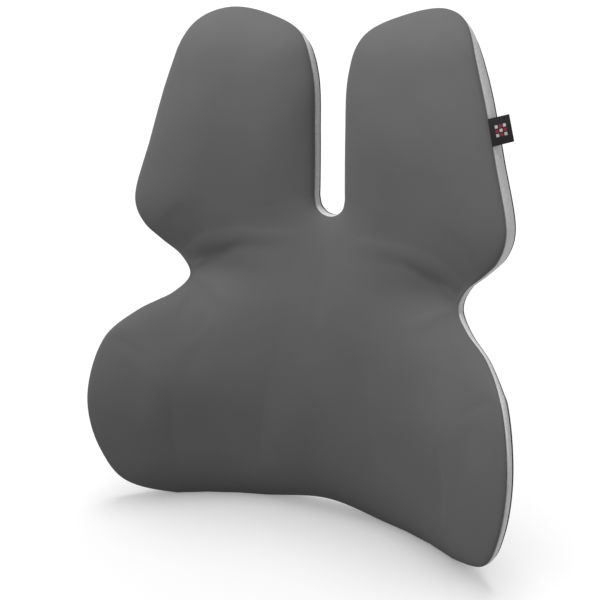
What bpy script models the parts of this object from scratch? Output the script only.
"""A lumbar support cushion: two tall lobes with a spine slot between them, a narrow waist and
two wings that wrap round the user's lower back.

+Z is up, the user sits on the -Y side, and the backrest is on the +Y side. Everything is in
metres. Every layer of the cushion is made on one grid of nodes, which is laid inside the
outline and lifted off a curved seam surface, so that the layers stay parallel.
"""

import math

import bpy
import bmesh
from mathutils import Matrix, Vector

# The outline, seen from the user's side
HEIGHT = 0.487
WING_HALF_WIDTH = 0.213
WING_Z = 0.119
WAIST_HALF_WIDTH = 0.1395
WAIST_Z = 0.231
LOBE_HALF_WIDTH = 0.186
LOBE_Z = 0.306
LOBE_TOP_X = 0.108
SLOT_HALF_WIDTH = 0.0155
SLOT_FLOOR_Z = 0.297
SLOT_STRAIGHT = 0.012
ARCH_RISE = 0.007
FOOT_INNER_X = 0.068
FOOT_OUTER_X = 0.150

# How far the sides wrap forward of the middle, and the tips of the lobes lean back
WING_WRAP = 0.106
LOBE_WRAP = 0.0505
WRAP_BLEND_BELOW = 0.056
WRAP_BLEND_ABOVE = 0.009
TIP_LEAN = 0.020
TIP_LEAN_HEIGHT = 0.047

# Thickness, measured off the seam surface
BAND_DEPTH_LOBE = 0.021
BAND_DEPTH_SLOT = 0.0135
BAND_DEPTH_WING = 0.007
DEPTH_BLEND_BELOW = 0.031
DEPTH_BLEND_ABOVE = 0.069
BACK_DEPTH_LOBE = 0.024
BACK_DEPTH_WING = 0.019
BACK_REACH = 0.035
BACK_TAPER_START = 0.158
FRONT_CROWN = 0.012
FRONT_CROWN_REACH = 0.045
RIM_TURN = 0.035
WALL_TILT = 0.2
LUMBAR_SWELL = 0.014
LUMBAR_SWELL_Z = 0.125
LUMBAR_SWELL_HALF_WIDTH = 0.110
LUMBAR_SWELL_HALF_HEIGHT = 0.075
BACK_FLAT = 0.0004

# Layers
FABRIC = 0.0012
BAND_FABRIC = 0.0015
GAP = 0.0003
FOAM_ROOM = 0.0006
LINING_ROOM = 0.0014
FOAM_SPLIT_SHARE = 0.4
PLATE = 0.002

# Closure across the lower back
ZIP_Z = 0.060
ZIP_END_ROOM = 0.070
COIL_SPLIT = 0.0016
COIL_WIDTH = 0.0022
COIL_HEIGHT = 0.0022
TAPE_WIDTH = 0.011
TAPE_THICKNESS = 0.0009
STOP_LENGTH = 0.004
SLIDER_LENGTH = 0.010
SLIDER_WIDTH = 0.0086
SLIDER_TOP = 0.0012
SLIDER_BOTTOM = 0.0008
SLIDER_ROOM = 0.0003
SLIDER_END_ROOM = 0.0055
ARCH_LENGTH = 0.0072
ARCH_WIDTH = 0.0018
ARCH_ROOM = 0.0018
ARCH_LEG = 0.0011
PULL_PIN = 0.0011
PULL_ARM = 0.0013
PULL_EYE = 0.0052
PULL_LENGTH = 0.024
PULL_WIDTH = 0.0062
PULL_HOLE_INSET = 0.0025
PULL_HOLE_LENGTH = 0.007
PULL_HOLE_WIDTH = 0.0022

# Strap across the back
STRAP_Z = 0.150
STRAP_WIDTH = 0.025
WEBBING = 0.0018
STRAP_LIFT = 0.0053
STRAP_RETURN_LIFT = 0.0028
STRAP_END_ROOM = 0.057
STRAP_ROOM = 0.0004
SEWN_ARC = math.radians(4.2)
RISE_ARC = math.radians(4.0)
STRAP_LEAVES_BACK = 0.022
STRAP_NEARS_BAR = 0.009
STRAP_BAR_DIP = 0.0012
STRAP_RETURN = (0.010, 0.018, 0.026)
STRAP_CORNER = 0.0014
PATCH_MARGIN = 0.0075
PATCH_OVERHANG_ARC = math.radians(1.8)
PATCH_ARC = math.radians(7.5)
ADJUSTER_REST_ANGLE = math.radians(17)
ADJUSTER_LENGTH = 0.020
ADJUSTER_BAR = 0.003
ADJUSTER_BAR_THICKNESS = 0.0016
ADJUSTER_BAR_INSET = 0.0004
ADJUSTER_BAR_SINK = 0.0002
ADJUSTER_ROOM = 0.0005

# Side-release buckle in the middle of the strap
BUCKLE_LIFT = 0.0015
BUCKLE_THICKNESS = 0.010
BUCKLE_WALL = 0.002
BUCKLE_BEVEL = 0.0016
SOCKET_BODY = 0.028
PLUG_BODY = 0.012
LOOP_FRAME = 0.0105
LOOP_BAR = 0.0035
LOOP_THICKNESS = 0.005
LOOP_RAIL = 0.003
LOOP_INSET = 0.0006
LOOP_OVERLAP = 0.002
CAVITY_END_ROOM = 0.002
CAVITY_MOUTH = 0.004
WINDOW_LENGTH = 0.011
WINDOW_END_ROOM = 0.001
WINDOW_SIDE_ROOM = 0.0003
PRONG_REACH = 0.022
PRONG_ROOT = 0.002
PRONG_WIDTH = 0.0035
PRONG_THICKNESS = 0.0046
PRONG_SIDE_ROOM = 0.0006
PRONG_BARB = 0.0018
BARB_SLOPE = 0.0006
BARB_ROOM = 0.0012
BARB_NOSE = 0.003
BARB_CHAMFER = 0.002
GUIDE_WIDTH = 0.004
GUIDE_SHARE = 0.8
GUIDE_INSET = 0.0003

# Woven label in the right front seam
LABEL_Z = 0.389
LABEL_HEIGHT = 0.023
LABEL_LENGTH = 0.018
LABEL_THICKNESS = 0.0008
LABEL_TURN = math.radians(40)

# Where the grid's lines run, as shares of the way across, of the outer edge up to the level of
# the slot's floor, and of the rest of that edge
ACROSS = [0, 0.05, 0.16, 0.31, 0.46, 0.61, 0.74, 0.87, 0.96, 1]
ROWS_BELOW_SLOT = [0, 0.024, 0.073, 0.161, 0.274, 0.387, 0.484, 0.565, 0.629, 0.694, 0.742,
                   0.790, 0.839, 0.903]
ROWS_BY_SLOT = [0, 0.037, 0.071, 0.105, 0.140, 0.289, 0.447, 0.605, 0.763, 0.882, 0.961, 1]
ARC_ROWS = 4
SLOT_ROW_DROP = 0.009
PLATE_RIM = 2
PLATE_SLOT_SHARE = 0.04
CURVE_STEPS = 16
ARC_STEP = math.radians(3)
STRAP_RUNS = 6
RUN_SPACING = 0.004
TURN_SPACING = 0.002

WING_RADIUS = (WING_HALF_WIDTH**2 + WING_WRAP**2) / (2 * WING_WRAP)
LOBE_RADIUS = (LOBE_HALF_WIDTH**2 + LOBE_WRAP**2) / (2 * LOBE_WRAP)
AXIS_Y = -WING_RADIUS
BACK_RADIUS = WING_RADIUS + BACK_DEPTH_WING

# What follows from the sizes above
ZIP_HALF_ANGLE = math.asin((WING_HALF_WIDTH - ZIP_END_ROOM) / BACK_RADIUS)
COIL_HALF_ANGLE = ZIP_HALF_ANGLE - (STOP_LENGTH + GAP) / BACK_RADIUS
SLIDER_REST_ANGLE = COIL_HALF_ANGLE - (SLIDER_LENGTH / 2 + SLIDER_END_ROOM) / BACK_RADIUS
STRAP_END_ANGLE = math.asin((WING_HALF_WIDTH - STRAP_END_ROOM) / BACK_RADIUS)
PATCH_HALF_HEIGHT = STRAP_WIDTH / 2 + PATCH_MARGIN
BUCKLE_WIDTH = STRAP_WIDTH + 2 * (STRAP_ROOM + LOOP_RAIL + LOOP_INSET)

COLOURS = {
    "front_fabric": ((0.125, 0.125, 0.130, 1), 0.85, 0.0),
    "band_fabric": ((0.420, 0.420, 0.430, 1), 0.90, 0.0),
    "back_fabric": ((0.060, 0.060, 0.063, 1), 0.90, 0.0),
    "foam": ((0.720, 0.690, 0.600, 1), 0.95, 0.0),
    "firm_foam": ((0.350, 0.380, 0.420, 1), 0.95, 0.0),
    "plate_plastic": ((0.500, 0.500, 0.480, 1), 0.45, 0.0),
    "label_weave": ((0.012, 0.012, 0.014, 1), 0.80, 0.0),
    "zip_tape": ((0.020, 0.020, 0.022, 1), 0.85, 0.0),
    "zip_coil": ((0.015, 0.015, 0.016, 1), 0.40, 0.0),
    "zip_metal": ((0.160, 0.160, 0.165, 1), 0.35, 0.9),
    "webbing": ((0.018, 0.018, 0.020, 1), 0.80, 0.0),
    "buckle_plastic": ((0.015, 0.015, 0.016, 1), 0.35, 0.0),
}


def smooth_step(share):
    share = min(max(share, 0), 1)
    return share * share * (3 - 2 * share)


def mix(first, second, share):
    return first + (second - first) * share


# The outline


def between(start, end, share_x, share_z):
    return Vector((mix(start[0], end[0], share_x), mix(start[1], end[1], share_z)))


def outline_controls():
    """Right half of the outline as (x, z) points, from the bottom's middle to the slot's floor.

    Also gives where the grid's three corners lie on it, and where the slot's wall turns in.
    """
    wing = (WING_HALF_WIDTH, WING_Z)
    waist = (WAIST_HALF_WIDTH, WAIST_Z)
    lobe = (LOBE_HALF_WIDTH, LOBE_Z)
    tip = (LOBE_TOP_X, HEIGHT)
    wall = (SLOT_HALF_WIDTH, SLOT_FLOOR_Z + SLOT_HALF_WIDTH)
    foot = (FOOT_OUTER_X, 0)
    bottom = [Vector((0, ARCH_RISE)), Vector((FOOT_INNER_X, 0)), Vector(foot)]
    outer = [
        between(foot, wing, 0.62, 0.15),
        between(foot, wing, 0.90, 0.48),
        Vector(wing),
        between(wing, waist, 0.19, 0.52),
        between(wing, waist, 0.46, 0.71),
        between(wing, waist, 0.83, 0.855),
        Vector(waist),
        between(waist, lobe, 0.16, 0.25),
        between(waist, lobe, 0.53, 0.47),
        between(waist, lobe, 0.85, 0.69),
        Vector(lobe),
        between(lobe, tip, 0.185, 0.32),
        between(lobe, tip, 0.427, 0.68),
        between(lobe, tip, 0.68, 0.934),
    ]
    top = [
        Vector(tip),
        between(tip, wall, 0.46, 0.036),
        between(tip, wall, 0.83, 0.135),
    ]
    above_wall = (SLOT_HALF_WIDTH, wall[1] + SLOT_STRAIGHT)
    slot = [between(tip, wall, 0.973, 0.33), between(tip, above_wall, 1, 0.72)]
    slot += [Vector(above_wall), Vector(wall)]
    for degrees in (60, 30):
        angle = math.radians(degrees)
        slot.append(Vector((SLOT_HALF_WIDTH * math.sin(angle),
                            SLOT_FLOOR_Z + SLOT_HALF_WIDTH * (1 - math.cos(angle)))))
    floor = [Vector((0, SLOT_FLOOR_Z))]
    low = len(bottom)
    high = low + len(outer) - 1
    inner_high = high + len(top)
    return bottom + outer + top + slot + floor, (low, high, inner_high), inner_high + len(slot) - 2


def curve_through(points, steps):
    """A smooth curve through the points, which mirrors itself across x = 0 at both ends."""
    before = Vector((-points[1].x, points[1].y))
    after = Vector((-points[-2].x, points[-2].y))
    padded = [before] + points + [after]
    curve = []
    for first, start, end, last in zip(padded, padded[1:], padded[2:], padded[3:]):
        before_span, span, after_span = [
            math.sqrt((b - a).length) for a, b in ((first, start), (start, end), (end, last))
        ]
        run = end - start
        lead = (start - first) / before_span - (end - first) / (before_span + span)
        trail = (last - end) / after_span - (last - start) / (span + after_span)
        slope_in = run + lead * span
        slope_out = run + trail * span
        for step in range(steps):
            t = step / steps
            curve.append(
                start * (2 * t**3 - 3 * t**2 + 1)
                + slope_in * (t**3 - 2 * t**2 + t)
                + end * (3 * t**2 - 2 * t**3)
                + slope_out * (t**3 - t**2)
            )
    curve.append(points[-1].copy())
    for point in curve:
        point.y = max(point.y, 0)
    return curve


def inset_curve(curve, distance):
    """The curve moved inwards, with both ends kept on x = 0."""
    moved = []
    for index, point in enumerate(curve):
        ahead = curve[min(index + 1, len(curve) - 1)]
        behind = curve[max(index - 1, 0)]
        along = (ahead - behind).normalized()
        if index in (0, len(curve) - 1):
            along = Vector((1 if index == 0 else -1, 0))
        moved.append(point + Vector((-along.y, along.x)) * distance)
    return moved


def spaced(curve, shares):
    """Points at the given shares of the curve's length."""
    lengths = [0]
    for first, second in zip(curve, curve[1:]):
        lengths.append(lengths[-1] + (second - first).length)
    found = []
    for share in shares:
        target = share * lengths[-1]
        index = 0
        while index < len(curve) - 2 and lengths[index + 1] < target:
            index += 1
        run = lengths[index + 1] - lengths[index]
        found.append(curve[index].lerp(curve[index + 1], (target - lengths[index]) / run))
    return found


def rows_up():
    """Shares of the outer edge's length at the grid's rows; one row ends at the slot's floor."""
    low, high, _ = (corner * CURVE_STEPS for corner in CORNERS)
    edge = OUTLINE[low : high + 1]
    below = [point for point in edge if point.y < SLOT_FLOOR_Z - SLOT_ROW_DROP]
    slot = edge_length(below) / edge_length(edge)
    rows = [slot * row for row in ROWS_BELOW_SLOT] + [slot + (1 - slot) * row for row in ROWS_BY_SLOT]
    return rows, slot, rows[len(ROWS_BELOW_SLOT) + ARC_ROWS]


def edge_length(points):
    return sum((second - first).length for first, second in zip(points, points[1:]))


def shares_between(start, end):
    """The grid's rows from start to end, as shares of the way between them."""
    return [(up - start) / (end - start) for up in UP if start <= up <= end]


def grid_nodes(distance):
    """(x, z) of each node, [across][up], with the boundary moved inwards by a distance."""
    curve = inset_curve(OUTLINE, distance)
    low, high, inner_high = (corner * CURVE_STEPS for corner in CORNERS)
    wall = WALL_INDEX * CURVE_STEPS
    bottom = spaced(curve[: low + 1], ACROSS)
    outer = spaced(curve[low : high + 1], UP)
    top = spaced(curve[high : inner_high + 1][::-1], ACROSS)
    middle = [curve[0].lerp(curve[-1], up / SLOT_SHARE) for up in UP if up < SLOT_SHARE]
    arc = spaced(curve[wall:][::-1], shares_between(SLOT_SHARE, SLOT_ARC_SHARE))
    sides = spaced(curve[inner_high : wall + 1][::-1], shares_between(SLOT_ARC_SHARE, 1))
    inner = middle + arc[:-1] + sides
    nodes = []
    for i, u in enumerate(ACROSS):
        column = []
        for j, v in enumerate(UP):
            across = inner[j] * (1 - u) + outer[j] * u
            upwards = bottom[i] * (1 - v) + top[i] * v
            corners = (inner[0] * (1 - u) * (1 - v) + outer[0] * u * (1 - v)
                       + inner[-1] * (1 - u) * v + outer[-1] * u * v)
            column.append(across + upwards - corners)
        nodes.append(column)
    return nodes


# The curved seam surface


def seam_y(x, z):
    share = smooth_step((z - WAIST_Z + WRAP_BLEND_BELOW) / (WRAP_BLEND_BELOW + WRAP_BLEND_ABOVE))
    radius = 1 / mix(1 / WING_RADIUS, 1 / LOBE_RADIUS, share)
    reach = min(abs(x), radius * 0.99)
    lean = max(z - HEIGHT + TIP_LEAN_HEIGHT, 0) / TIP_LEAN_HEIGHT
    return math.sqrt(radius**2 - reach**2) - radius + TIP_LEAN * lean**2


def seam_point(x, z):
    return Vector((x, seam_y(x, z), z))


def seam_normal(x, z):
    """Square to the seam surface, towards the user."""
    step = 0.0005
    across = seam_point(x + step, z) - seam_point(x - step, z)
    up = seam_point(x, z + step) - seam_point(x, z - step)
    return across.cross(up).normalized()


def lifted(node, lift, inward=0.0):
    """A point off the seam surface; a positive lift goes towards the user.

    Inward is 0 at the rim, whose wall turns only a little with the wrap, and 1 where the lift
    is square to the surface.
    """
    normal = seam_normal(*node)
    wall = Vector((normal.x * WALL_TILT, normal.y, normal.z)).normalized()
    return seam_point(*node) + wall.lerp(normal, inward).normalized() * lift


def lobe_share(z):
    """0 on the wings, 1 on the lobes."""
    return smooth_step((z - WAIST_Z + DEPTH_BLEND_BELOW) / (DEPTH_BLEND_BELOW + DEPTH_BLEND_ABOVE))


def band_depth(node):
    lobe = mix(BAND_DEPTH_SLOT, BAND_DEPTH_LOBE, smooth_step(abs(node.x) / LOBE_HALF_WIDTH))
    return mix(BAND_DEPTH_WING, lobe, lobe_share(node.y))


def back_depth(z):
    return mix(BACK_DEPTH_WING, BACK_DEPTH_LOBE, lobe_share(z))


def pillow(distance, reach):
    """Height share of a rounded rim that rises from nothing at the seam."""
    share = min(distance / reach, 1)
    return math.sqrt(1 - (1 - share) ** 2)


def front_lift(node, distance):
    swell = math.exp(-((node.x / LUMBAR_SWELL_HALF_WIDTH) ** 2)
                     - ((node.y - LUMBAR_SWELL_Z) / LUMBAR_SWELL_HALF_HEIGHT) ** 2)
    rim = pillow(distance, FRONT_CROWN_REACH)
    return FRONT_CROWN * rim + LUMBAR_SWELL * swell * rim


def back_lift(node, distance):
    taper = smooth_step((abs(node.x) - BACK_TAPER_START) / (WING_HALF_WIDTH - BACK_TAPER_START))
    share = smooth_step(distance / BACK_REACH) * (1 - taper)
    return -mix(band_depth(node), back_depth(node.y), share)


# Objects


def material_named(name):
    material = bpy.data.materials.get(name)
    if material:
        return material
    material = bpy.data.materials.new(name)
    material.use_nodes = True
    shader = material.node_tree.nodes["Principled BSDF"]
    colour, roughness, metallic = COLOURS[name]
    shader.inputs["Base Color"].default_value = colour
    shader.inputs["Roughness"].default_value = roughness
    shader.inputs["Metallic"].default_value = metallic
    material.diffuse_color = colour
    return material


def add_object(name, mesh, material, parent=None):
    thing = bpy.data.objects.new(name, mesh)
    bpy.context.scene.collection.objects.link(thing)
    thing.parent = parent or CUSHION
    if material:
        mesh.materials.append(material_named(material))
    return thing


def add_mesh(name, points, faces, material, parent=None):
    mesh = bpy.data.meshes.new(name)
    mesh.from_pydata([tuple(point) for point in points], [], faces)
    return add_object(name, mesh, material, parent)


def add_empty(name, place, angle=0.0, parent=None):
    empty = bpy.data.objects.new(name, None)
    bpy.context.scene.collection.objects.link(empty)
    empty.location = place
    empty.rotation_euler.z = angle
    empty.parent = parent or CUSHION
    return empty


def mirror_across(thing):
    mirror = thing.modifiers.new("Mirror", "MIRROR")
    mirror.use_clip = True
    mirror.merge_threshold = 0.0001


def layer(name, nodes, front, back, cells, material):
    """A closed sheet over some of the grid's cells, mirrored across x = 0."""
    corners = sorted({(i + a, j + b) for i, j in cells for a in (0, 1) for b in (0, 1)})
    front_index = {corner: index for index, corner in enumerate(corners)}
    back_index = {corner: index + len(corners) for index, corner in enumerate(corners)}
    points = [front(*corner) for corner in corners] + [back(*corner) for corner in corners]
    for (i, _), point in zip(corners * 2, points):
        if abs(point.x) < 1e-6 and i == 0:
            point.x = 0
    faces = []
    edges = {}
    for i, j in cells:
        a, b, c, d = (i, j), (i + 1, j), (i + 1, j + 1), (i, j + 1)
        faces += [[front_index[p] for p in (a, b, c)], [front_index[p] for p in (a, c, d)]]
        faces += [[back_index[p] for p in (c, b, a)], [back_index[p] for p in (d, c, a)]]
        for edge in ((a, b), (b, c), (c, d), (d, a)):
            edges[edge] = edges.get(edge, 0) + 1
    for start, end in edges:
        on_middle = nodes[start[0]][start[1]].x < 1e-6 and nodes[end[0]][end[1]].x < 1e-6
        if (end, start) in edges or on_middle:
            continue
        f0, f1, b0, b1 = front_index[start], front_index[end], back_index[start], back_index[end]
        faces += [[f0, b0, b1], [f0, b1, f1]]
    thing = add_mesh(name, points, faces, material)
    mirror_across(thing)
    return thing


def strip(name, outer, inner, front, back, material, side=1):
    """A closed strip along stations; each has an outer and an inner node."""
    points = []
    for out, into in zip(outer, inner):
        points += [lifted(out, front(out)), lifted(out, back(out))]
        points += [lifted(into, back(out)), lifted(into, front(out))]
    for point in points:
        point.x *= side
    faces = []
    for station in range(len(outer) - 1):
        low = station * 4
        for k in range(4):
            a, b = low + k, low + (k + 1) % 4
            faces += [[a, b, a + 4], [b, b + 4, a + 4]]
    last = len(points) - 4
    faces += [[2, 1, 0], [3, 2, 0], [last, last + 1, last + 2], [last, last + 2, last + 3]]
    if side < 0:
        faces = [face[::-1] for face in faces]
    return add_mesh(name, points, faces, material)


def prism(name, outline, low, high, material, parent=None):
    """An outline in the XY plane, given counter-clockwise, pulled up from low to high."""
    count = len(outline)
    points = [(x, y, low) for x, y in outline] + [(x, y, high) for x, y in outline]
    faces = [list(range(count))[::-1], list(range(count, 2 * count))]
    for index in range(count):
        ahead = (index + 1) % count
        faces.append([index, ahead, ahead + count, index + count])
    return add_mesh(name, points, faces, material, parent)


def box(name, low, high, material=None, parent=None):
    outline = [(low[0], low[1]), (high[0], low[1]), (high[0], high[1]), (low[0], high[1])]
    return prism(name, outline, low[2], high[2], material, parent)


def combine(thing, other, operation):
    """Adds to the object or cuts from it, and keeps the other one as a hidden helper."""
    other.hide_render = True
    other.display_type = "WIRE"
    boolean = thing.modifiers.new(operation.title(), "BOOLEAN")
    boolean.operation = operation
    boolean.object = other
    boolean.solver = "EXACT"


def on_back(angle, lift):
    """A plan point over the curved back of the wings; a positive lift goes away from the user."""
    radius = BACK_RADIUS + lift
    return Vector((radius * math.sin(angle), AXIS_Y + radius * math.cos(angle)))


def arc_bar(name, start, end, lifts, heights, material):
    """A bar that follows the back between two angles, two lifts and two heights."""
    steps = max(2, math.ceil(abs(end - start) / ARC_STEP))
    angles = [mix(start, end, step / steps) for step in range(steps + 1)]
    inside = [on_back(angle, lifts[0]) for angle in angles]
    outside = [on_back(angle, lifts[1]) for angle in angles]
    return prism(name, inside + outside[::-1], heights[0], heights[1], material)


def webbing(name, path, low, high, material):
    """A flat strap of constant thickness along a plan path."""
    left, right = [], []
    for index, point in enumerate(path):
        along = (path[min(index + 1, len(path) - 1)] - path[max(index - 1, 0)]).normalized()
        square = Vector((-along.y, along.x)) * (WEBBING / 2)
        left.append(point + square)
        right.append(point - square)
    return prism(name, right + left[::-1], low, high, material)


# The cushion


def cushion_layers():
    base = grid_nodes(0)
    fronts, backs, inwards = [], [], []
    for column in base:
        distances = [min((node - point).length for point in OUTLINE) for node in column]
        fronts.append([front_lift(node, distance) for node, distance in zip(column, distances)])
        backs.append([back_lift(node, distance) for node, distance in zip(column, distances)])
        inwards.append([smooth_step(distance / RIM_TURN) for distance in distances])
    cells = [(i, j) for i in range(len(ACROSS) - 1) for j in range(len(UP) - 1)]

    panel = grid_nodes(GAP)

    def panel_point(i, j, lift):
        return lifted(panel[i][j], lift, inwards[i][j])

    layer("front_panel", panel,
          lambda i, j: panel_point(i, j, fronts[i][j]),
          lambda i, j: panel_point(i, j, fronts[i][j] - FABRIC),
          cells, "front_fabric")

    foam = grid_nodes(BAND_FABRIC + FOAM_ROOM)

    def foam_point(i, j, lift):
        return lifted(foam[i][j], lift, inwards[i][j])

    split = [[-FOAM_SPLIT_SHARE * band_depth(node) for node in column] for column in foam]
    layer("comfort_foam", foam,
          lambda i, j: foam_point(i, j, fronts[i][j] - FABRIC - FOAM_ROOM),
          lambda i, j: foam_point(i, j, split[i][j] + GAP / 2),
          cells, "foam")

    def in_plate(i, j):
        rows = PLATE_RIM <= j < len(UP) - PLATE_RIM
        below_slot = UP[j] < SLOT_SHARE - PLATE_SLOT_SHARE
        return rows and i < len(ACROSS) - PLATE_RIM and (i >= PLATE_RIM or below_slot)

    def corners_of(i, j):
        return [(i + a, j + b) for a in (0, 1) for b in (0, 1)]

    plate_cells = [cell for cell in cells if all(in_plate(*corner) for corner in corners_of(*cell))]
    plate_corners = {corner for cell in plate_cells for corner in corners_of(*cell)}
    layer("support_plate", foam,
          lambda i, j: foam_point(i, j, split[i][j] - GAP / 2),
          lambda i, j: foam_point(i, j, split[i][j] - GAP / 2 - PLATE),
          plate_cells, "plate_plastic")

    def base_front(i, j):
        recess = PLATE + GAP if (i, j) in plate_corners else 0
        return foam_point(i, j, split[i][j] - GAP / 2 - recess)

    layer("base_foam", foam, base_front,
          lambda i, j: foam_point(i, j, backs[i][j] + FABRIC + LINING_ROOM),
          cells, "firm_foam")

    def back_point(i, j, depth):
        point = panel_point(i, j, backs[i][j] + depth)
        point.y = min(point.y, back_depth(panel[i][j].y) - BACK_FLAT - depth)
        return point

    window_half_height = COIL_SPLIT / 2 + COIL_WIDTH + TAPE_WIDTH + 2 * GAP
    for name, turn in (("back_panel_upper", -1), ("back_panel_lower", 1)):
        panel_half = layer(name, panel,
                           lambda i, j: back_point(i, j, FABRIC),
                           lambda i, j: back_point(i, j, 0),
                           cells, "back_fabric")
        cutter = seam_cutter(name + "_cutter", turn, ZIP_Z, window_half_height)
        combine(panel_half, cutter, "DIFFERENCE")


def seam_cutter(name, turn, middle, half_height):
    """Everything on one side of the back's cross seam, with the zip's window."""
    far = 2 * WING_HALF_WIDTH
    half_window = on_back(ZIP_HALF_ANGLE, 0).x + GAP
    steps = [(-far, GAP / 2), (-half_window, GAP / 2), (-half_window, half_height),
             (half_window, half_height), (half_window, GAP / 2), (far, GAP / 2)]
    outline = [(x, middle - turn * height) for x, height in steps]
    beyond = middle + turn * 2 * HEIGHT
    outline += [(far, beyond), (-far, beyond)]
    if turn < 0:
        outline.reverse()
    cutter = prism(name, outline, -far, far, None)
    cutter.data.transform(Matrix.Rotation(math.radians(90), 4, "X"))
    return cutter


def side_bands():
    outer, inner = grid_nodes(0), grid_nodes(BAND_FABRIC)
    last_i, last_j = len(ACROSS) - 1, len(UP) - 1
    slot_row = UP.index(SLOT_SHARE)

    def front(_):
        return -FABRIC - GAP

    def back(node):
        return FABRIC + GAP - band_depth(node)

    around = [(i, 0) for i in range(last_i + 1)]
    around += [(last_i, j) for j in range(1, last_j + 1)]
    around += [(i, last_j) for i in range(last_i - 1, -1, -1)]
    stations = [[grid[i][j].copy() for i, j in around] for grid in (outer, inner)]
    for line in stations:
        line[0].x += GAP / 2
        line[-1] += (line[-2] - line[-1]).normalized() * GAP
    strip("side_band_right", *stations, front, back, "band_fabric")
    strip("side_band_left", *stations, front, back, "band_fabric", side=-1)

    slot = []
    for grid in (outer, inner):
        line = [grid[0][j].copy() for j in range(last_j, slot_row - 1, -1)]
        slot.append(line + [Vector((-node.x, node.y)) for node in line[-2::-1]])
    strip("slot_band", *slot, front, back, "band_fabric")


def label():
    """A folded tab of woven tape, sewn into the front seam and standing off the band's wall."""
    edge = grid_nodes(0)[-1]
    above = next(j for j, node in enumerate(edge) if node.y > LABEL_Z)
    low, high = edge[above - 1], edge[above]
    share = (LABEL_Z - low.y) / (high.y - low.y)
    place = low.lerp(high, share)
    along = (lifted(high, 0) - lifted(low, 0)).normalized()
    wall = (lifted(place, 1) - lifted(place, 0)).normalized()
    outward = along.cross(wall).normalized()
    reach = outward * math.cos(LABEL_TURN) - wall * math.sin(LABEL_TURN)
    face = along.cross(reach).normalized()
    seam = -FABRIC - GAP
    root = lifted(low, seam).lerp(lifted(high, seam), share)
    root += outward * (GAP + LABEL_THICKNESS / 2)
    points = []
    for depth in (0, LABEL_LENGTH):
        for height in (-LABEL_HEIGHT / 2, LABEL_HEIGHT / 2):
            for side in (-LABEL_THICKNESS / 2, LABEL_THICKNESS / 2):
                points.append(root + reach * depth + along * height + face * side)
    tab = add_mesh("label_tab", points, [], "label_weave")
    shape = bmesh.new()
    shape.from_mesh(tab.data)
    bmesh.ops.convex_hull(shape, input=shape.verts)
    shape.to_mesh(tab.data)
    shape.free()


# The closure


def zip_chain():
    half = ZIP_HALF_ANGLE
    for name, turn in (("upper", 1), ("lower", -1)):
        coil = sorted(ZIP_Z + turn * edge for edge in (COIL_SPLIT / 2, COIL_SPLIT / 2 + COIL_WIDTH))
        arc_bar("zip_coil_" + name, -COIL_HALF_ANGLE, COIL_HALF_ANGLE,
                (-TAPE_THICKNESS, COIL_HEIGHT - TAPE_THICKNESS), coil, "zip_coil")
        start = COIL_SPLIT / 2 + COIL_WIDTH + GAP
        tape = sorted(ZIP_Z + turn * edge for edge in (start, start + TAPE_WIDTH))
        arc_bar("zip_tape_" + name, -half, half, (-TAPE_THICKNESS, 0), tape, "zip_tape")
    reach = COIL_SPLIT / 2 + COIL_WIDTH
    for name, turn in (("zip_top_stop", 1), ("zip_bottom_stop", -1)):
        angles = sorted((turn * half, turn * (half - STOP_LENGTH / BACK_RADIUS)))
        arc_bar(name, *angles, (-TAPE_THICKNESS, COIL_HEIGHT - TAPE_THICKNESS + GAP),
                (ZIP_Z - reach, ZIP_Z + reach), "zip_metal")


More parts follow.
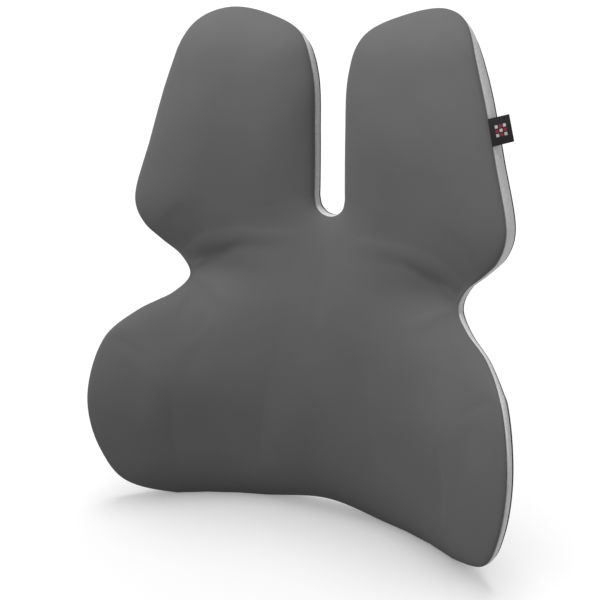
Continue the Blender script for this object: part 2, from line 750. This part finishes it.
def zip_slider():
    """Slider at the closed end; its parent turns about the axis that the curved back is struck from."""
    turntable = add_empty("zip_axis", (0, AXIS_Y, 0), -SLIDER_REST_ANGLE)
    coil_top = BACK_RADIUS + COIL_HEIGHT - TAPE_THICKNESS
    coil_foot = BACK_RADIUS - TAPE_THICKNESS
    half_long, half_wide = SLIDER_LENGTH / 2, SLIDER_WIDTH / 2
    top = coil_top + SLIDER_ROOM
    bottom = coil_foot - SLIDER_ROOM
    slider = box("zip_slider", (-half_long, top, ZIP_Z - half_wide),
                 (half_long, top + SLIDER_TOP, ZIP_Z + half_wide), "zip_metal", turntable)
    post = COIL_SPLIT / 2 - SLIDER_ROOM
    lower = box("zip_slider_foot", (-half_long, bottom - SLIDER_BOTTOM, ZIP_Z - half_wide),
                (half_long, bottom, ZIP_Z + half_wide), None, turntable)
    divider = box("zip_slider_post", (half_long / 3, bottom - SLIDER_BOTTOM / 2, ZIP_Z - post),
                  (half_long, top + SLIDER_TOP / 2, ZIP_Z + post), None, turntable)
    base = top + SLIDER_TOP
    sunk = base - SLIDER_TOP / 2
    half_arch = ARCH_LENGTH / 2
    leg = ARCH_LEG
    crown = base + ARCH_ROOM
    arch_outline = [(-half_arch, sunk), (-half_arch + leg, sunk),
                    (-half_arch + leg, crown), (half_arch - leg, crown),
                    (half_arch - leg, sunk), (half_arch, sunk),
                    (half_arch, crown + leg / 2), (half_arch - leg / 2, crown + leg),
                    (leg / 2 - half_arch, crown + leg), (-half_arch, crown + leg / 2)]
    arch = prism("zip_slider_arch", arch_outline,
                 ZIP_Z - ARCH_WIDTH / 2, ZIP_Z + ARCH_WIDTH / 2, None, turntable)
    for piece in (lower, divider, arch):
        combine(slider, piece, "UNION")

    pivot = add_empty("pull_axis", (0, base + ARCH_ROOM / 2, ZIP_Z), 0.0, turntable)
    half = PULL_PIN / 2
    eye_half = PULL_WIDTH / 2
    pull = box("zip_pull", (-PULL_LENGTH, -half, -eye_half), (half, half, eye_half),
               "zip_metal", pivot)
    eye = box("zip_pull_eye", (-PULL_EYE, -PULL_WIDTH, PULL_ARM - eye_half),
              (-half, PULL_WIDTH, eye_half - PULL_ARM), None, pivot)
    combine(pull, eye, "DIFFERENCE")
    hole_start = PULL_HOLE_INSET - PULL_LENGTH
    tip = box("zip_pull_hole", (hole_start, -PULL_WIDTH, -PULL_HOLE_WIDTH / 2),
              (hole_start + PULL_HOLE_LENGTH, PULL_WIDTH, PULL_HOLE_WIDTH / 2), None, pivot)
    combine(pull, tip, "DIFFERENCE")


# The strap


def smooth_path(points, spacing=RUN_SPACING):
    """Points along a smooth curve through the given plan points."""
    padded = [points[0] * 2 - points[1]] + points + [points[-1] * 2 - points[-2]]
    path = []
    for first, start, end, last in zip(padded, padded[1:], padded[2:], padded[3:]):
        steps = max(1, round((end - start).length / spacing))
        for step in range(steps):
            t = step / steps
            path.append(0.5 * (2 * start + (end - first) * t
                               + (2 * first - 5 * start + 4 * end - last) * t**2
                               + (3 * start - first - 3 * end + last) * t**3))
    path.append(points[-1])
    return path


def beyond_bar(bar_x, reach):
    """Angle on the back that lies a distance further out than a buckle's bar, on the left."""
    return -math.asin((abs(bar_x) + reach) / BACK_RADIUS)


def strap_path(bar_x, middle_y):
    """Left half strap: sewn end, rise, run along the back, and the turn round the buckle's bar."""
    sewn_lift = GAP + FABRIC + GAP + WEBBING / 2
    sewn_end = STRAP_END_ANGLE - SEWN_ARC
    run_start = sewn_end - RISE_ARC
    arc = [on_back(-STRAP_END_ANGLE, sewn_lift), on_back(-sewn_end, sewn_lift)]
    arc.append(on_back(-mix(sewn_end, run_start, 0.5), mix(sewn_lift, STRAP_LIFT, 0.5)))
    run_end = beyond_bar(bar_x, STRAP_LEAVES_BACK)
    for step in range(STRAP_RUNS + 1):
        arc.append(on_back(mix(-run_start, run_end, step / STRAP_RUNS), STRAP_LIFT))

    half_x = LOOP_BAR / 2 + GAP + WEBBING / 2
    half_y = LOOP_THICKNESS / 2 + GAP + WEBBING / 2
    corner = STRAP_CORNER
    chamfer = 0.3 * corner
    turn = [
        (-STRAP_NEARS_BAR, half_y - STRAP_BAR_DIP),
        (-LOOP_BAR / 2, half_y),
        (LOOP_BAR / 2, half_y),
        (half_x - chamfer, half_y - chamfer),
        (half_x, half_y - corner),
        (half_x, corner - half_y),
        (half_x - chamfer, chamfer - half_y),
        (LOOP_BAR / 2, -half_y),
        (-LOOP_BAR / 2, -half_y),
    ]
    around = [Vector((bar_x + x, middle_y + y)) for x, y in turn]
    back = [on_back(beyond_bar(bar_x, reach), STRAP_RETURN_LIFT) for reach in STRAP_RETURN]
    return smooth_path(arc) + smooth_path(around, TURN_SPACING) + smooth_path(back)


def straps():
    low, high = STRAP_Z - STRAP_WIDTH / 2, STRAP_Z + STRAP_WIDTH / 2
    middle_y = buckle_middle_y()
    left_bar = -SOCKET_BODY / 2 - LOOP_FRAME + LOOP_BAR / 2
    right_bar = SOCKET_BODY / 2 + GAP + PLUG_BODY + LOOP_FRAME - LOOP_BAR / 2
    webbing("strap_left", strap_path(left_bar, middle_y), low, high, "webbing")
    mirrored = [Vector((-point.x, point.y)) for point in strap_path(-right_bar, middle_y)]
    webbing("strap_right", mirrored[::-1], low, high, "webbing")
    for name, turn in (("strap_patch_left", -1), ("strap_patch_right", 1)):
        outer = STRAP_END_ANGLE + PATCH_OVERHANG_ARC
        angles = sorted((turn * outer, turn * (outer - PATCH_ARC)))
        arc_bar(name, *angles, (GAP, GAP + FABRIC),
                (STRAP_Z - PATCH_HALF_HEIGHT, STRAP_Z + PATCH_HALF_HEIGHT), "webbing")


def strap_adjuster():
    """Slide that grips the left strap; its parent turns about the back's own axis."""
    turntable = add_empty("adjuster_axis", (0, AXIS_Y, 0), ADJUSTER_REST_ANGLE)
    strap_low = BACK_RADIUS + STRAP_LIFT - WEBBING / 2 - ADJUSTER_ROOM
    strap_high = BACK_RADIUS + STRAP_LIFT + WEBBING / 2 + ADJUSTER_ROOM
    half = ADJUSTER_LENGTH / 2
    inside = STRAP_WIDTH / 2 + GAP
    outside = inside + ADJUSTER_BAR
    bar_end = outside - ADJUSTER_BAR_INSET
    low, high = strap_low - ADJUSTER_BAR_THICKNESS, strap_high + ADJUSTER_BAR_THICKNESS
    slide = box("strap_adjuster", (-half, low, STRAP_Z + inside), (half, high, STRAP_Z + outside),
                "buckle_plastic", turntable)
    other = box("adjuster_rail", (-half, low, STRAP_Z - outside), (half, high, STRAP_Z - inside),
                None, turntable)
    centre = box("adjuster_centre", (-ADJUSTER_BAR / 2, low, STRAP_Z - bar_end),
                 (ADJUSTER_BAR / 2, strap_low, STRAP_Z + bar_end), None, turntable)
    combine(slide, centre, "UNION")
    combine(slide, other, "UNION")
    first = ADJUSTER_BAR_INSET - half
    for name, start in (("adjuster_bar_a", first), ("adjuster_bar_b", -first - ADJUSTER_BAR)):
        bar = box(name, (start, strap_high, STRAP_Z - bar_end),
                  (start + ADJUSTER_BAR, high - ADJUSTER_BAR_SINK, STRAP_Z + bar_end),
                  None, turntable)
        combine(slide, bar, "UNION")


def buckle_middle_y():
    return AXIS_Y + BACK_RADIUS + BUCKLE_LIFT + BUCKLE_THICKNESS / 2


def loop_frame(body, start, end, parent):
    """Adds the thin frame that a strap loops round, from the body at start to the bar at end."""
    half_thick = LOOP_THICKNESS / 2
    half_wide = BUCKLE_WIDTH / 2 - LOOP_INSET
    outwards = 1 if end > start else -1
    frame_low, frame_high = sorted((start - outwards * LOOP_OVERLAP, end))
    slot_low, slot_high = sorted((start, end - outwards * LOOP_BAR))
    frame = box(body.name + "_frame", (frame_low, -half_thick, -half_wide),
                (frame_high, half_thick, half_wide), None, parent)
    slot = box(body.name + "_slot", (slot_low, -BUCKLE_THICKNESS, LOOP_RAIL - half_wide),
               (slot_high, BUCKLE_THICKNESS, half_wide - LOOP_RAIL), None, parent)
    combine(frame, slot, "DIFFERENCE")
    combine(body, frame, "UNION")


def buckle_body(name, start, end, parent):
    half_thick, half_wide = BUCKLE_THICKNESS / 2, BUCKLE_WIDTH / 2
    thing = box(name, (start, -half_thick, -half_wide), (end, half_thick, half_wide),
                "buckle_plastic", parent)
    bevel = thing.modifiers.new("Bevel", "BEVEL")
    bevel.width = BUCKLE_BEVEL
    bevel.segments = 2
    return thing


def buckle():
    """Side-release buckle: a hollow socket, and a plug whose barbs sit in the socket's windows."""
    place = add_empty("buckle_place", (0, buckle_middle_y(), STRAP_Z))
    mouth = SOCKET_BODY / 2
    cavity_thick = BUCKLE_THICKNESS / 2 - BUCKLE_WALL
    cavity_wide = BUCKLE_WIDTH / 2 - BUCKLE_WALL
    socket = buckle_body("buckle_socket", -mouth, mouth, place)
    cavity = box("socket_cavity",
                 (mouth - PRONG_REACH - CAVITY_END_ROOM, -cavity_thick, -cavity_wide),
                 (mouth + CAVITY_MOUTH, cavity_thick, cavity_wide), None, place)
    combine(socket, cavity, "DIFFERENCE")
    window_start = mouth - PRONG_REACH - WINDOW_END_ROOM
    window_thick = cavity_thick - WINDOW_SIDE_ROOM
    windows = box("socket_windows", (window_start, -window_thick, -BUCKLE_WIDTH),
                  (window_start + WINDOW_LENGTH, window_thick, BUCKLE_WIDTH), None, place)
    combine(socket, windows, "DIFFERENCE")
    loop_frame(socket, -mouth, -mouth - LOOP_FRAME, place)

    start = mouth + GAP
    plug = buckle_body("buckle_plug", start, start + PLUG_BODY, place)
    barb_start = window_start + WINDOW_LENGTH - BARB_ROOM
    for name, turn in (("plug_prong_a", 1), ("plug_prong_b", -1)):
        combine(plug, prong(name, turn, start, barb_start, place), "UNION")
    guide_thick = PRONG_THICKNESS / 2 - GUIDE_INSET
    guide = box("plug_guide", (start - PRONG_REACH * GUIDE_SHARE, -guide_thick, -GUIDE_WIDTH / 2),
                (start + PRONG_ROOT, guide_thick, GUIDE_WIDTH / 2), None, place)
    combine(plug, guide, "UNION")
    loop_frame(plug, start + PLUG_BODY, start + PLUG_BODY + LOOP_FRAME, place)


def prong(name, turn, start, barb_start, parent):
    """One springy arm of the plug, whose barb sits in the socket's window."""
    edge = BUCKLE_WIDTH / 2 - BUCKLE_WALL - PRONG_SIDE_ROOM
    barb_edge = BUCKLE_WIDTH / 2 - BUCKLE_WALL + PRONG_BARB
    tip = start - PRONG_REACH
    arm = [(start + PRONG_ROOT, edge), (barb_start + BARB_SLOPE, edge), (barb_start, barb_edge),
           (tip + BARB_NOSE, barb_edge), (tip, edge - BARB_CHAMFER), (tip, edge - PRONG_WIDTH),
           (start + PRONG_ROOT, edge - PRONG_WIDTH)]
    outline = [(x, -turn * z) for x, z in arm]
    if turn > 0:
        outline.reverse()
    piece = prism(name, outline, -PRONG_THICKNESS / 2, PRONG_THICKNESS / 2, None, parent)
    piece.data.transform(Matrix.Rotation(math.radians(90), 4, "X"))
    shape = bmesh.new()
    shape.from_mesh(piece.data)
    bmesh.ops.recalc_face_normals(shape, faces=shape.faces)
    shape.to_mesh(piece.data)
    shape.free()
    return piece


def centre_on_origin():
    """Moves the cushion so that the middle of its depth lies on the origin."""
    bpy.context.view_layer.update()
    graph = bpy.context.evaluated_depsgraph_get()
    depths = []
    for thing in bpy.data.objects:
        if thing.type == "MESH" and not thing.hide_render:
            solid = thing.evaluated_get(graph)
            depths += [(solid.matrix_world @ Vector(corner)).y for corner in solid.bound_box]
    CUSHION.location.y = -(min(depths) + max(depths)) / 2
    bpy.context.view_layer.update()
    print("back's axis at y", round(CUSHION.location.y + AXIS_Y, 6))
    for name in ("pull_axis", "buckle_place"):
        print(name, [round(value, 6) for value in bpy.data.objects[name].matrix_world.translation])


for old in list(bpy.data.objects):
    bpy.data.objects.remove(old, do_unlink=True)

CUSHION = bpy.data.objects.new("cushion", None)
bpy.context.scene.collection.objects.link(CUSHION)
CONTROLS, CORNERS, WALL_INDEX = outline_controls()
OUTLINE = curve_through(CONTROLS, CURVE_STEPS)
UP, SLOT_SHARE, SLOT_ARC_SHARE = rows_up()
print("rows reach the slot's floor at", round(SLOT_SHARE, 4), "of the outer edge")

cushion_layers()
side_bands()
label()
zip_chain()
zip_slider()
straps()
strap_adjuster()
buckle()
centre_on_origin()
